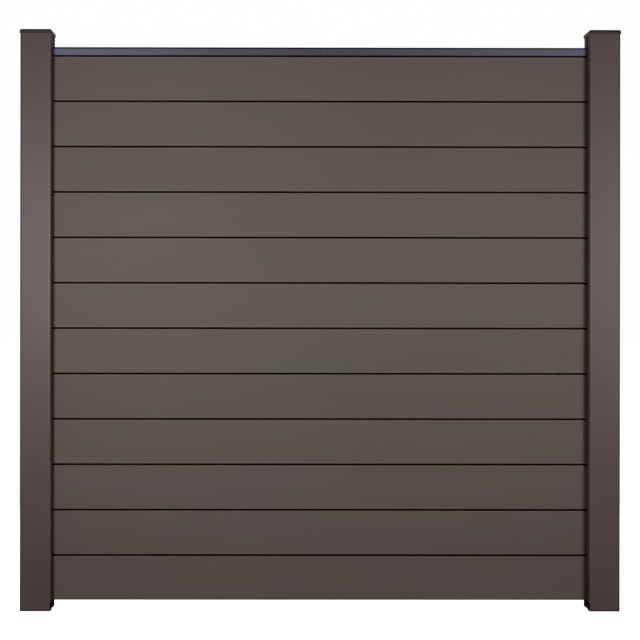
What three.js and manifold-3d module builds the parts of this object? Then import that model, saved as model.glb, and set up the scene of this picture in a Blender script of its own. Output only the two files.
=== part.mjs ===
// A garden privacy screen: two grooved posts, twelve tongue-and-groove boards slid between them and a
// metal rail on the top board. Millimetres, +Z up, front facing -Y, origin on the ground in the middle.
import * as THREE from "three";
import { mergeVertices } from "three/addons/utils/BufferGeometryUtils.js";
import Module from "manifold-3d";

const wasm = await Module();
wasm.setup();

// ---- Driving dimensions ----------------------------------------------------------------------------

const CLEAR_SPAN = 1770; // between the inner faces of the two posts
const GROUND_CLEARANCE = 30; // from the posts' feet to the lowest board
const SEAT_GAP = 0.3; // left wherever one piece rests on another

// Boards, seen end on: a flat face, a tongue along the top and a slot along the bottom.
const BOARD_COUNT = 12;
const BOARD_PITCH = 150; // height that one board adds to the stack
const BOARD_THICKNESS = 20;
const BOARD_WALL = 6; // skin round the hollow chambers
const BOARD_RIB = 5; // between one chamber and the next
const BOARD_CHAMBERS = 5;
const BOARD_CHAMBER_RADIUS = 2;
const BOARD_EDGE_RADIUS = 1.2;
const BOARD_END_CLEARANCE = 5; // room for a board to grow in the groove
const SHADOW_GAP = 4; // seen between one board's face and the next
const TONGUE_THICKNESS = 7;
const TONGUE_ENGAGEMENT = 10; // how far a tongue reaches into the slot above it
const TONGUE_TIP_RADIUS = 1.5;
const TONGUE_FIT = 0.5; // play on each side of a tongue

// Posts
const POST_SIZE = 100;
const POST_ABOVE_RAIL = 43;
const POST_WALL = 7;
const POST_INNER_WALL = 6.5; // between chambers, and beside the grooves
const POST_EDGE_RADIUS = 3;
const POST_CHAMBER_RADIUS = 2;
const GROOVE_WIDTH = 24;
const GROOVE_DEPTH = 20;
const GROOVE_LIP_RADIUS = 1.5;
const GROOVE_FLOOR_RADIUS = 1;

// Steel core tube of each post
const TUBE_SIZE = 40;
const TUBE_WALL = 2;
const TUBE_EDGE_RADIUS = 3;
const TUBE_BORE_RADIUS = 1.5;
const TUBE_FIT = 0.5; // play on each side inside the post
const TUBE_BELOW_TOP = 10; // how far the tube stops short of the post's top

// Post cap, a shallow lid with four corner lugs
const CAP_TOP = 9.7; // thickness of the lid above the post, up to the rim
const CAP_RISE = 4; // of the low pyramid above the rim
const CAP_SKIRT = 3; // how far the lid laps down over the post
const CAP_WALL = 2.2;
const CAP_FIT = 0.3; // play on each side of the post
const CAP_CHAMFER = 3.5;
const LUG_DEPTH = 15;
const LUG_LENGTH = 10; // of each arm of the angled lug
const LUG_WALL = 2.5;
const LUG_FIT = 0.5;

// Top rail, an extruded hollow section
const RAIL_HEIGHT = 27;
const RAIL_WALL = 1.8;
const RAIL_EDGE_RADIUS = 2;
const RAIL_FOOT_RADIUS = 0.6;

// Spacer block under each end of the lowest board
const SPACER_LENGTH = 12; // along the boards
const SPACER_FIT = 0.4; // play on each side in the groove

// Angle bracket that holds each rail end down
const BRACKET_THICKNESS = 2;
const BRACKET_WIDTH = 18;
const BRACKET_LEG = 20; // up the groove floor
const BRACKET_FOOT = 14; // over the rail
const BRACKET_SCREW_RISE = 12; // of the post screw above the bracket's foot

// Screws: radii of shank and head, lengths under the head
const CORE_SCREW = { shank: 2.4, head: 4.6, cone: 2.2, lip: 0.5, length: 22, point: 5 };
const POST_SCREW = { shank: 2.4, head: 4.4, dome: 2.6, length: 25, point: 5 };
const RAIL_SCREW = { shank: 2.1, head: 3.6, dome: 2.2, length: 11, point: 3 };
const CORE_SCREWS = 3; // in each inner groove floor
const CORE_SCREW_FOOT = 230; // height of the lowest, clear of the ground anchor
const SCREW_FIT = 0.3; // play round a screw in its hole
const HEAD_SINK = 0.3; // countersunk heads lie this far below the groove floor
const RECESS_SPAN = 4.2; // driver's cross in each head
const RECESS_ARM = 1.1;
const RECESS_DEPTH = 1.4;

// Roundness, and how far a cutting shape runs past the face it cuts
const OVERRUN = 1;
const FEWEST_SIDES = 2; // of a rounded corner, which otherwise has one for each millimetre of radius
const DOME_STEPS = 4; // rings of a domed head
const ROUND_STEPS = 16; // sides of screws and their holes

// ---- Sizes that follow -----------------------------------------------------------------------------

const POST_HALF = POST_SIZE / 2;
const GROOVE_HALF = GROOVE_WIDTH / 2;
const GROOVE_FLOOR = POST_HALF - GROOVE_DEPTH; // distance from the post's centre
const POST_CENTRE_X = CLEAR_SPAN / 2 + POST_HALF;
const CORE_HALF = TUBE_SIZE / 2 + TUBE_FIT;
const CHAMBER_INNER = CORE_HALF + POST_INNER_WALL;
const CHAMBER_OUTER = POST_HALF - POST_WALL;
const LUG_CHAMBER_SIDE = GROOVE_HALF + POST_INNER_WALL;

const BOARD_LENGTH = CLEAR_SPAN + 2 * (GROOVE_DEPTH - BOARD_END_CLEARANCE);
const BOARD_END = POST_CENTRE_X - BOARD_LENGTH / 2; // distance from the post's centre
const FACE_HEIGHT = BOARD_PITCH - SHADOW_GAP;
const SLOT_DEPTH = TONGUE_ENGAGEMENT + SEAT_GAP;
const SLOT_HALF = TONGUE_THICKNESS / 2 + TONGUE_FIT;

const RAIL_FOOT_Z = GROUND_CLEARANCE + BOARD_COUNT * BOARD_PITCH;
const RAIL_TOP_Z = RAIL_FOOT_Z + RAIL_HEIGHT;
const POST_LENGTH = RAIL_TOP_Z + POST_ABOVE_RAIL;
const TUBE_LENGTH = POST_LENGTH - TUBE_BELOW_TOP;

const BRACKET_BACK = GROOVE_FLOOR + SEAT_GAP;
const BRACKET_FACE = BRACKET_BACK + BRACKET_THICKNESS;
const BRACKET_TIP = BRACKET_BACK + BRACKET_FOOT;
const BRACKET_Z = RAIL_TOP_Z + SEAT_GAP;
const POST_SCREW_Z = BRACKET_Z + BRACKET_SCREW_RISE;
const RAIL_SCREW_X = (BOARD_END + BRACKET_TIP) / 2; // middle of the foot's hold on the rail

// ---- Materials -------------------------------------------------------------------------------------

function finish(name, color, roughness, metalness) {
  return new THREE.MeshStandardMaterial({ name, color, roughness, metalness });
}

const materials = {
  post: finish("post composite", 0x524441, 0.7, 0),
  board: finish("board composite", 0x5e534f, 0.8, 0),
  cap: finish("cap plastic", 0x3a3530, 0.7, 0),
  rail: finish("rail aluminium", 0x494955, 0.35, 1),
  tube: finish("galvanised steel", 0x9a9ea0, 0.5, 0.9),
  spacer: finish("spacer plastic", 0x222222, 0.7, 0),
  bracket: finish("bracket steel", 0x8e9294, 0.45, 0.9),
  screw: finish("screw steel", 0xa8abad, 0.35, 0.9),
};

// ---- Outlines --------------------------------------------------------------------------------------

// The points of one rounded corner, from the side that comes in to the side that goes out.
function cornerPoints(before, [x, y, radius = 0], after) {
  const corner = new THREE.Vector2(x, y);
  if (!radius) return [corner];
  const towardsBefore = new THREE.Vector2(before[0] - x, before[1] - y).normalize();
  const towardsAfter = new THREE.Vector2(after[0] - x, after[1] - y).normalize();
  const halfAngle = Math.acos(towardsBefore.dot(towardsAfter)) / 2;
  const middle = towardsBefore.clone().add(towardsAfter).normalize();
  const centre = corner.clone().addScaledVector(middle, radius / Math.sin(halfAngle));
  const start = corner.clone().addScaledVector(towardsBefore, radius / Math.tan(halfAngle)).sub(centre);
  const turn = Math.sign(towardsAfter.cross(towardsBefore)) * (Math.PI - 2 * halfAngle);
  const sides = Math.max(FEWEST_SIDES, Math.round(radius));
  return Array.from({ length: sides + 1 }, (_, step) =>
    start.clone().rotateAround(new THREE.Vector2(), (turn * step) / sides).add(centre),
  );
}

// A closed outline from corners given as [x, y, radius].
function outlinePoints(corners) {
  const count = corners.length;
  return corners.flatMap((corner, i) =>
    cornerPoints(corners[(i + count - 1) % count], corner, corners[(i + 1) % count]),
  );
}

function rectangle(left, right, bottom, top, radius = 0) {
  return [
    [left, bottom, radius],
    [right, bottom, radius],
    [right, top, radius],
    [left, top, radius],
  ];
}

function square(half, radius) {
  return rectangle(-half, half, -half, half, radius);
}

// The prism of an outline, from z = 0 up to its length.
function prism(corners, length) {
  const shape = new THREE.Shape(outlinePoints(corners));
  return new THREE.ExtrudeGeometry(shape, { depth: length, bevelEnabled: false });
}

// Turns a prism whose section was drawn as (Y, Z) so that it runs along X, centred on X = 0.
function alongX(geometry, length) {
  const axes = new THREE.Matrix4().makeBasis(
    new THREE.Vector3(0, 1, 0),
    new THREE.Vector3(0, 0, 1),
    new THREE.Vector3(1, 0, 0),
  );
  return geometry.applyMatrix4(axes).translate(-length / 2, 0, 0);
}

// Turns a prism whose section was drawn as (X, Z) so that it runs along Y, centred on Y = 0.
function alongY(geometry, length) {
  const axes = new THREE.Matrix4().makeBasis(
    new THREE.Vector3(1, 0, 0),
    new THREE.Vector3(0, 0, 1),
    new THREE.Vector3(0, -1, 0),
  );
  return geometry.applyMatrix4(axes).translate(0, length / 2, 0);
}

// ---- Solids ----------------------------------------------------------------------------------------

function toSolid(geometry) {
  const bare = geometry.index ? geometry.toNonIndexed() : geometry.clone();
  bare.deleteAttribute("normal");
  bare.deleteAttribute("uv");
  const merged = mergeVertices(bare, 1e-4);
  const mesh = new wasm.Mesh({
    numProp: 3,
    vertProperties: merged.attributes.position.array,
    triVerts: new Uint32Array(merged.index.array),
  });
  return new wasm.Manifold(mesh);
}

function toGeometry(solid) {
  const { numProp, numVert, vertProperties, triVerts } = solid.getMesh();
  const positions = new Float32Array(numVert * 3);
  for (let i = 0; i < numVert; i++) {
    positions.set(vertProperties.subarray(i * numProp, i * numProp + 3), i * 3);
  }
  const geometry = new THREE.BufferGeometry();
  geometry.setAttribute("position", new THREE.BufferAttribute(positions, 3));
  geometry.setIndex(new THREE.BufferAttribute(triVerts, 1));
  geometry.computeVertexNormals();
  return geometry;
}

function cut(geometry, tools) {
  const left = tools.reduce((solid, tool) => solid.subtract(toSolid(tool)), toSolid(geometry));
  return toGeometry(left);
}

// The prism of an outline with chambers running through it from end to end.
function hollowPrism(corners, length, chambers) {
  const bits = chambers.map((chamber) => {
    return prism(chamber, length + 2 * OVERRUN).translate(0, 0, -OVERRUN);
  });
  return cut(prism(corners, length), bits);
}

function join(geometries) {
  const [first, ...others] = geometries.map(toSolid);
  return toGeometry(others.reduce((solid, other) => solid.add(other), first));
}

// A turned shape about Z from a profile of [radius, height] that starts and ends on the axis.
function turned(profile) {
  const points = profile.map(([radius, height]) => new THREE.Vector2(radius, height));
  return new THREE.LatheGeometry(points, ROUND_STEPS).rotateX(Math.PI / 2);
}

// A closed block from level outlines of as many points each, the lowest first, and a peak above them.
function tapered(rings, peak) {
  const count = rings[0].points.length;
  const positions = rings.flatMap(({ points, z }) => points.flatMap(({ x, y }) => [x, y, z]));
  positions.push(0, 0, rings[0].z, 0, 0, peak);
  const base = rings.length * count;
  const triangles = [];
  for (let i = 0; i < count; i++) {
    const next = (i + 1) % count;
    triangles.push(base, next, i);
    rings.slice(1).forEach((_, ring) => {
      const [low, high] = [ring * count, (ring + 1) * count];
      triangles.push(low + i, low + next, high + next, low + i, high + next, high + i);
    });
    triangles.push(base - count + i, base - count + next, base + 1);
  }
  const geometry = new THREE.BufferGeometry();
  geometry.setAttribute("position", new THREE.Float32BufferAttribute(positions, 3));
  return geometry.setIndex(triangles);
}

// Lays a shape that was made along Z along X, with its top towards +X.
function layAlongX(geometry) {
  return geometry.rotateY(Math.PI / 2);
}

// A round bit that clears a screw's shank between two places along its axis.
function shankBit(screw, from, to) {
  const radius = screw.shank + SCREW_FIT;
  const bit = new THREE.CylinderGeometry(radius, radius, to - from, ROUND_STEPS);
  return bit.rotateX(Math.PI / 2).translate(0, 0, (from + to) / 2);
}

// ---- Posts and what they hold ----------------------------------------------------------------------

function coreScrewHeights() {
  const step = (POST_SCREW_Z - CORE_SCREW_FOOT) / CORE_SCREWS;
  return Array.from({ length: CORE_SCREWS }, (_, i) => CORE_SCREW_FOOT + i * step);
}

// The post's section: a square with a groove down each side and seven chambers.
function postSection() {
  const h = POST_HALF;
  const g = GROOVE_HALF;
  const side = (s) => [
    [s * h, -s * h, POST_EDGE_RADIUS],
    [s * h, -s * g, GROOVE_LIP_RADIUS],
    [s * GROOVE_FLOOR, -s * g, GROOVE_FLOOR_RADIUS],
    [s * GROOVE_FLOOR, s * g, GROOVE_FLOOR_RADIUS],
    [s * h, s * g, GROOVE_LIP_RADIUS],
    [s * h, s * h, POST_EDGE_RADIUS],
  ];
  return [...side(1), ...side(-1)];
}

function postChambers() {
  const r = POST_CHAMBER_RADIUS;
  const chambers = [square(CORE_HALF, r)];
  for (const y of [-1, 1]) {
    const [low, high] = [y * CHAMBER_INNER, y * CHAMBER_OUTER].sort((a, b) => a - b);
    chambers.push(rectangle(-CORE_HALF, CORE_HALF, low, high, r));
    for (const x of [-1, 1]) {
      const [left, right] = [x * CHAMBER_INNER, x * CHAMBER_OUTER].sort((a, b) => a - b);
      const [bottom, top] = [y * LUG_CHAMBER_SIDE, y * CHAMBER_OUTER].sort((a, b) => a - b);
      chambers.push(rectangle(left, right, bottom, top, r));
    }
  }
  return chambers;
}

// The hole for a countersunk screw whose head's face lies at z = 0, open past that face.
function countersinkBit() {
  const { shank, head, cone, lip, length } = CORE_SCREW;
  const clear = shank + SCREW_FIT;
  const mouth = head + SCREW_FIT;
  return turned([
    [0, -length],
    [clear, -length],
    [clear, -lip - cone],
    [mouth, -lip],
    [mouth, 2 * HEAD_SINK],
    [0, 2 * HEAD_SINK],
  ]);
}

function post() {
  const blank = hollowPrism(postSection(), POST_LENGTH, postChambers());
  const headFace = GROOVE_FLOOR - HEAD_SINK;
  const bits = coreScrewHeights().map((z) => {
    return layAlongX(countersinkBit()).translate(headFace, 0, z);
  });
  const wall = GROOVE_FLOOR - CORE_HALF;
  const bracketBit = layAlongX(shankBit(POST_SCREW, -2 * wall, wall));
  bits.push(bracketBit.translate(GROOVE_FLOOR, 0, POST_SCREW_Z));
  return cut(blank, bits);
}

function coreTube() {
  const half = TUBE_SIZE / 2;
  const bore = square(half - TUBE_WALL, TUBE_BORE_RADIUS);
  const blank = hollowPrism(square(half, TUBE_EDGE_RADIUS), TUBE_LENGTH, [bore]);
  const through = (screw, z) => {
    return layAlongX(shankBit(screw, -TUBE_WALL, TUBE_WALL)).translate(half - TUBE_WALL / 2, 0, z);
  };
  const bits = coreScrewHeights().map((z) => through(CORE_SCREW, z));
  bits.push(through(POST_SCREW, POST_SCREW_Z));
  return cut(blank, bits);
}

// One moulded lug, an angle that stands in the outer corner of a corner chamber, at +X +Y.
function capLug(bottom, top) {
  const outer = CHAMBER_OUTER - LUG_FIT;
  const inner = outer - LUG_LENGTH;
  const angle = [
    [inner, outer - LUG_WALL],
    [outer - LUG_WALL, outer - LUG_WALL],
    [outer - LUG_WALL, inner],
    [outer, inner],
    [outer, outer, POST_CHAMBER_RADIUS],
    [inner, outer],
  ];
  return prism(angle, top - bottom).translate(0, 0, bottom);
}

// The lid: straight sides, a chamfered rim and a low pyramid, with a recess below for the post's end.
function capLid(seat) {
  const half = POST_HALF + CAP_FIT + CAP_WALL;
  const corner = POST_EDGE_RADIUS + CAP_FIT + CAP_WALL;
  const rim = seat + CAP_TOP;
  const side = outlinePoints(square(half, corner));
  const edge = side.map((point) => point.clone().multiplyScalar(1 - CAP_CHAMFER / half));
  const block = tapered(
    [
      { points: side, z: POST_LENGTH - CAP_SKIRT },
      { points: side, z: rim - CAP_CHAMFER },
      { points: edge, z: rim },
    ],
    rim + CAP_RISE,
  );
  const recess = prism(square(POST_HALF + CAP_FIT, POST_EDGE_RADIUS), 2 * CAP_SKIRT);
  return cut(block, [recess.translate(0, 0, seat - 2 * CAP_SKIRT)]);
}

function postCap() {
  const seat = POST_LENGTH + SEAT_GAP;
  const lugs = [0, 1, 2, 3].map((quarter) => {
    return capLug(POST_LENGTH - LUG_DEPTH, seat + CAP_TOP / 2).rotateZ((quarter * Math.PI) / 2);
  });
  return join([capLid(seat), ...lugs]);
}

// ---- Boards and rail -------------------------------------------------------------------------------

// The tongue of a board or of a spacer block, from its shoulders at one height to its tip.
function tongueCorners(shoulder, tip) {
  const half = TONGUE_THICKNESS / 2;
  return [
    [half, shoulder],
    [half, tip, TONGUE_TIP_RADIUS],
    [-half, tip, TONGUE_TIP_RADIUS],
    [-half, shoulder],
  ];
}

function boardSection() {
  const half = BOARD_THICKNESS / 2;
  const r = BOARD_EDGE_RADIUS;
  return [
    [half, 0, r],
    [half, FACE_HEIGHT, r],
    ...tongueCorners(FACE_HEIGHT, BOARD_PITCH + TONGUE_ENGAGEMENT),
    [-half, FACE_HEIGHT, r],
    [-half, 0, r],
    [-SLOT_HALF, 0, r],
    [-SLOT_HALF, SLOT_DEPTH],
    [SLOT_HALF, SLOT_DEPTH],
    [SLOT_HALF, 0, r],
  ];
}

function boardChambers() {
  const half = BOARD_THICKNESS / 2 - BOARD_WALL;
  const bottom = SLOT_DEPTH + BOARD_WALL;
  const top = FACE_HEIGHT - BOARD_WALL;
  const step = (top - bottom + BOARD_RIB) / BOARD_CHAMBERS;
  return Array.from({ length: BOARD_CHAMBERS }, (_, i) => {
    const low = bottom + i * step;
    return rectangle(-half, half, low, low + step - BOARD_RIB, BOARD_CHAMBER_RADIUS);
  });
}

function board() {
  return alongX(hollowPrism(boardSection(), BOARD_LENGTH, boardChambers()), BOARD_LENGTH);
}

function railSection() {
  const half = BOARD_THICKNESS / 2;
  const inside = half - RAIL_WALL;
  return [
    [half, 0, RAIL_FOOT_RADIUS],
    [half, RAIL_HEIGHT, RAIL_EDGE_RADIUS],
    [-half, RAIL_HEIGHT, RAIL_EDGE_RADIUS],
    [-half, 0, RAIL_FOOT_RADIUS],
    [-SLOT_HALF, 0],
    [-SLOT_HALF, RAIL_WALL],
    [-inside, RAIL_WALL],
    [-inside, SLOT_DEPTH],
    [inside, SLOT_DEPTH],
    [inside, RAIL_WALL],
    [SLOT_HALF, RAIL_WALL],
    [SLOT_HALF, 0],
  ];
}

function topRail() {
  const inside = BOARD_THICKNESS / 2 - RAIL_WALL;
  const innerRadius = RAIL_EDGE_RADIUS / 2;
  const chamber = rectangle(-inside, inside, SLOT_DEPTH + RAIL_WALL, RAIL_HEIGHT - RAIL_WALL, innerRadius);
  const blank = alongX(hollowPrism(railSection(), BOARD_LENGTH, [chamber]), BOARD_LENGTH);
  const bits = [-1, 1].map((side) => {
    const bit = shankBit(RAIL_SCREW, -RAIL_WALL, RAIL_WALL);
    return bit.translate(side * (POST_CENTRE_X - RAIL_SCREW_X), 0, RAIL_HEIGHT - RAIL_WALL / 2);
  });
  return cut(blank, bits);
}

// ---- Small pieces ----------------------------------------------------------------------------------

// The block's section seen along the boards: it fills the groove and keys into the board's slot.
function spacer() {
  const half = GROOVE_HALF - SPACER_FIT;
  const shoulder = GROUND_CLEARANCE - SEAT_GAP;
  const section = [
    [-half, 0],
    [half, 0],
    [half, shoulder],
    ...tongueCorners(shoulder, GROUND_CLEARANCE + TONGUE_ENGAGEMENT),
    [-half, shoulder],
  ];
  const block = alongX(prism(section, SPACER_LENGTH), SPACER_LENGTH);
  return block.translate(GROOVE_FLOOR + SEAT_GAP + SPACER_LENGTH / 2, 0, 0);
}

function bracket() {
  const foot = BRACKET_Z;
  const top = BRACKET_Z + BRACKET_LEG;
  const t = BRACKET_THICKNESS;
  const section = [
    [BRACKET_BACK, foot, t],
    [BRACKET_TIP, foot],
    [BRACKET_TIP, foot + t],
    [BRACKET_FACE, foot + t],
    [BRACKET_FACE, top],
    [BRACKET_BACK, top],
  ];
  const blank = alongY(prism(section, BRACKET_WIDTH), BRACKET_WIDTH);
  const postBit = layAlongX(shankBit(POST_SCREW, -t, 2 * t)).translate(BRACKET_BACK, 0, POST_SCREW_Z);
  const railBit = shankBit(RAIL_SCREW, -t, 2 * t).translate(RAIL_SCREW_X, 0, foot);
  return cut(blank, [postBit, railBit]);
}

// The driver's cross, cut down from a screw head's face at one height.
function crossBit(face) {
  const a = RECESS_ARM / 2;
  const s = RECESS_SPAN / 2;
  const cross = [
    [a, a],
    [a, s],
    [-a, s],
    [-a, a],
    [-s, a],
    [-s, -a],
    [-a, -a],
    [-a, -s],
    [a, -s],
    [a, -a],
    [s, -a],
    [s, a],
  ];
  return prism(cross, 2 * RECESS_DEPTH).translate(0, 0, face - RECESS_DEPTH);
}

// A countersunk screw along Z with its head's face at z = 0.
function countersunkScrew({ shank, head, cone, lip, length, point }) {
  const profile = [
    [0, -length],
    [shank, point - length],
    [shank, -lip - cone],
    [head, -lip],
    [head, 0],
    [0, 0],
  ];
  return cut(turned(profile), [crossBit(0)]);
}

// A domed screw along Z with the underside of its head at z = 0.
function domedScrew({ shank, head, dome, length, point }) {
  const rise = Array.from({ length: DOME_STEPS - 1 }, (_, step) => {
    const angle = ((step + 1) / DOME_STEPS) * (Math.PI / 2);
    return [head * Math.cos(angle), dome * Math.sin(angle)];
  });
  const profile = [[0, -length], [shank, point - length], [shank, 0], [head, 0], ...rise, [0, dome]];
  return cut(turned(profile), [crossBit(dome)]);
}

// ---- The screen ------------------------------------------------------------------------------------

function node(name, geometry, material) {
  const mesh = new THREE.Mesh(geometry, material);
  mesh.name = name;
  return mesh;
}

// One post with what it carries, standing on its own origin with the boards towards +X.
function postSide(side) {
  const group = new THREE.Group();
  group.add(node(`${side}_post`, post(), materials.post));
  group.add(node(`${side}_post_cap`, postCap(), materials.cap));
  group.add(node(`${side}_core_tube`, coreTube(), materials.tube));
  group.add(node(`${side}_board_spacer`, spacer(), materials.spacer));
  group.add(node(`${side}_rail_bracket`, bracket(), materials.bracket));
  coreScrewHeights().forEach((z, i) => {
    const screw = node(`${side}_core_screw_${i + 1}`, countersunkScrew(CORE_SCREW), materials.screw);
    screw.position.set(GROOVE_FLOOR - HEAD_SINK, 0, z);
    screw.rotation.y = Math.PI / 2;
    group.add(screw);
  });
  const postScrew = node(`${side}_bracket_post_screw`, domedScrew(POST_SCREW), materials.screw);
  postScrew.position.set(BRACKET_FACE + SEAT_GAP, 0, POST_SCREW_Z);
  postScrew.rotation.y = Math.PI / 2;
  const railScrew = node(`${side}_bracket_rail_screw`, domedScrew(RAIL_SCREW), materials.screw);
  railScrew.position.set(RAIL_SCREW_X, 0, BRACKET_Z + BRACKET_THICKNESS + SEAT_GAP);
  group.add(postScrew, railScrew);
  return group;
}

const screen = new THREE.Group();

const leftSide = postSide("left");
leftSide.position.x = -POST_CENTRE_X;
const rightSide = postSide("right");
rightSide.position.x = POST_CENTRE_X;
rightSide.rotation.z = Math.PI;
screen.add(leftSide, rightSide);

for (let i = 0; i < BOARD_COUNT; i++) {
  const number = String(i + 1).padStart(2, "0");
  const fenceBoard = node(`fence_board_${number}`, board(), materials.board);
  fenceBoard.position.z = GROUND_CLEARANCE + i * BOARD_PITCH;
  screen.add(fenceBoard);
}

const rail = node("top_rail", topRail(), materials.rail);
rail.position.z = RAIL_FOOT_Z;
screen.add(rail);

export default screen;
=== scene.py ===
"""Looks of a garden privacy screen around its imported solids. Metres, +Z up, the front faces -Y."""

import math
import random
from typing import NamedTuple

import bmesh
import bpy
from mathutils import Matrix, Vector
from mathutils.geometry import tessellate_polygon


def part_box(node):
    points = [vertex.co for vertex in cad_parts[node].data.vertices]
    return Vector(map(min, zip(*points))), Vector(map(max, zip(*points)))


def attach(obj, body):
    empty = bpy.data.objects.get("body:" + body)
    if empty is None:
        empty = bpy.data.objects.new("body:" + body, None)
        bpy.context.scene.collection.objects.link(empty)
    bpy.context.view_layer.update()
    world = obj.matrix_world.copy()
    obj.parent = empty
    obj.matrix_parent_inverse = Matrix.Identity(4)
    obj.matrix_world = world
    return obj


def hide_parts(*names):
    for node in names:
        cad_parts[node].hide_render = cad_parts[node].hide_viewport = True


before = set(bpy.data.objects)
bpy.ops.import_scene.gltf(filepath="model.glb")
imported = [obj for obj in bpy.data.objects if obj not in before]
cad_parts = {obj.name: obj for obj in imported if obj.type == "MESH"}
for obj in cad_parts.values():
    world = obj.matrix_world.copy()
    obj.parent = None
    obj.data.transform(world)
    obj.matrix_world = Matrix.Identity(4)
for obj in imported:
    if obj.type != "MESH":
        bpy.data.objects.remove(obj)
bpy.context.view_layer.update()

SEED = 20
MM = 0.001

# ---- Sizes that the frame gives --------------------------------------

SIDES = {"left": 1, "right": -1}  # each side's name, and the way its boards lie along X
BOARDS = sorted(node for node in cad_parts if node.startswith("fence_board_"))

POST_LOW, POST_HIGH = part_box("right_post")
POST_X = (POST_LOW.x + POST_HIGH.x) / 2
POST_HALF = (POST_HIGH.x - POST_LOW.x) / 2
POST_TOP = POST_HIGH.z
CAP_LOW, CAP_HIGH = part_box("right_post_cap")
CAP_HALF = (CAP_HIGH.x - CAP_LOW.x) / 2
TUBE_LOW, TUBE_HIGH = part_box("right_core_tube")
TUBE_HALF = (TUBE_HIGH.x - TUBE_LOW.x) / 2
BOARD_LOW, BOARD_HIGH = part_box(BOARDS[0])
BOARD_HALF_LENGTH = BOARD_HIGH.x
BOARD_HALF = BOARD_HIGH.y
BOARD_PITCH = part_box(BOARDS[1])[0].z - BOARD_LOW.z
TONGUE_REACH = BOARD_HIGH.z - BOARD_LOW.z
RAIL_LOW, RAIL_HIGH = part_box("top_rail")
BRACKET_FOOT_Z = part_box("right_rail_bracket")[0].z

# ---- Sizes of the sections -------------------------------------------

ARC_STEPS = 5  # in a rounded corner
SAW_CHAMFER = 0.4 * MM

POST_EDGE_RADIUS = 3 * MM
POST_WALL = 7 * MM
POST_INNER_WALL = 6.5 * MM
POST_CHAMBER_RADIUS = 2 * MM
GROOVE_HALF = 12 * MM
GROOVE_FLOOR = POST_HALF - 20 * MM
GROOVE_LIP_RADIUS = 1.5 * MM
GROOVE_FLOOR_RADIUS = 1 * MM
CORE_HALF = TUBE_HALF + 0.5 * MM
TUBE_WALL = 2 * MM
TUBE_EDGE_RADIUS = 3 * MM
TUBE_BORE_RADIUS = 1.5 * MM
WELD_HALF = 1.4 * MM
WELD_RISE = 0.5 * MM

CAP_WALL = 2.2 * MM
CAP_SKIRT = 3 * MM  # how far the skirt laps down over the post
CAP_RIM_DROP = 4 * MM  # of the rim below the cap's peak
CAP_LID = 9.7 * MM  # thickness of the lid at its rim
CAP_BEVEL = 3.5 * MM
CAP_CORNER_RADIUS = 5.5 * MM
LUG_DEPTH = 15 * MM
LUG_LENGTH = 10 * MM
LUG_WALL = 2.5 * MM
LUG_FIT = 0.5 * MM
LUG_LEAD = 2 * MM  # the tapered stretch at a lug's foot
LUG_TAPER = 0.8 * MM

BOARD_WALL = 6 * MM
BOARD_RIB = 5 * MM
BOARD_CHAMBERS = 5
BOARD_CHAMBER_RADIUS = 2 * MM
BOARD_EDGE_RADIUS = 1.2 * MM
SHADOW_GAP = 4 * MM
TONGUE_HALF = 3.5 * MM
TONGUE_TIP_RADIUS = 1.5 * MM
SLOT_HALF = 4 * MM
SLOT_DEPTH = 10.3 * MM

RAIL_WALL = 1.8 * MM
RAIL_EDGE_RADIUS = 2 * MM
RAIL_FOOT_RADIUS = 0.6 * MM
RAIL_CHAMBER_RADIUS = 1 * MM

SPACER_EDGE_RADIUS = 0.6 * MM
BRACKET_THICKNESS = 2 * MM
BRACKET_EDGE_RADIUS = 0.4 * MM
BRACKET_BEND_OUTSIDE = 2.2 * MM
BRACKET_BEND_INSIDE = 0.8 * MM
SEAT_GAP = 0.3 * MM


class Screw(NamedTuple):
    """A screw's radii and lengths. A countersunk head lies below its face, a domed one above its seat."""

    shank: float
    head: float
    rise: float
    length: float
    point: float
    pitch: float
    countersunk: bool


CORE_SCREW = Screw(2.4 * MM, 4.6 * MM, 2.7 * MM, 22 * MM, 5 * MM, 2.0 * MM, True)
POST_SCREW = Screw(2.4 * MM, 4.4 * MM, 2.6 * MM, 25 * MM, 5 * MM, 2.0 * MM, False)
RAIL_SCREW = Screw(2.1 * MM, 3.6 * MM, 2.2 * MM, 11 * MM, 3 * MM, 1.4 * MM, False)
SCREW_FIT = 0.3 * MM
SCREW_LIP = 0.5 * MM
SCREW_NECK = 0.3 * MM  # of plain shank under the head
HEAD_SINK = 0.3 * MM
HEAD_EASE = 0.15 * MM  # by which the edges of a head are eased
THREAD_DEPTH = 0.45 * MM
THREAD_FLANK = 0.3  # share of the pitch from a thread's crest to its root
THREAD_STEPS = 8  # rings in each turn of thread
SCREW_SIDES = 24
DOME_STEPS = 7
RECESS_SPAN = 4.2 * MM
RECESS_ARM = 1.1 * MM
RECESS_DEPTH = 1.4 * MM
RECESS_TAPER = 0.25 * MM
DRILL_REACH = 4 * MM  # of a drilled hole's tool, to each side
COUNTERSINK_DEPTH = 12 * MM

# ---- Wear and painted shades: 0 is none, and 1 is all ----------------

WEAR_REACH = 4.5 * MM  # how far an edge's wear fades into its faces
WEAR_EDGE = 0.8 * MM  # the strip beside an edge that has all its wear
FADE_SHARE = 0.4  # the most of a side's free length that the fading takes
EDGE_SHARE = 0.15  # the most of it that the strip takes
DEEP_SHADE_FROM = 0.10  # the painted shade at which a face takes its slot's shaded copy of the material
JOINT_EDGE_SHADE = 0.94  # painted shade of the rounded board edges along a joint
GROOVE_END_SHADE = 0.8  # painted shade of the board ends and rail ends inside the grooves
CAP_LINE_SHADE = 0.95  # painted shade of the dark line round a cap's bevel
ROOT_SHADE = 0.6  # painted shade of a thread's root
FOOT_SHADE = 0.9  # painted shade at a post's cut foot
FOOT_GATHER = 11.0  # deepens the painted shades of a post's sides below the lowest board
BOARD_TONE = 0.025  # how much lighter or darker than the rest a board may be
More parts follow.
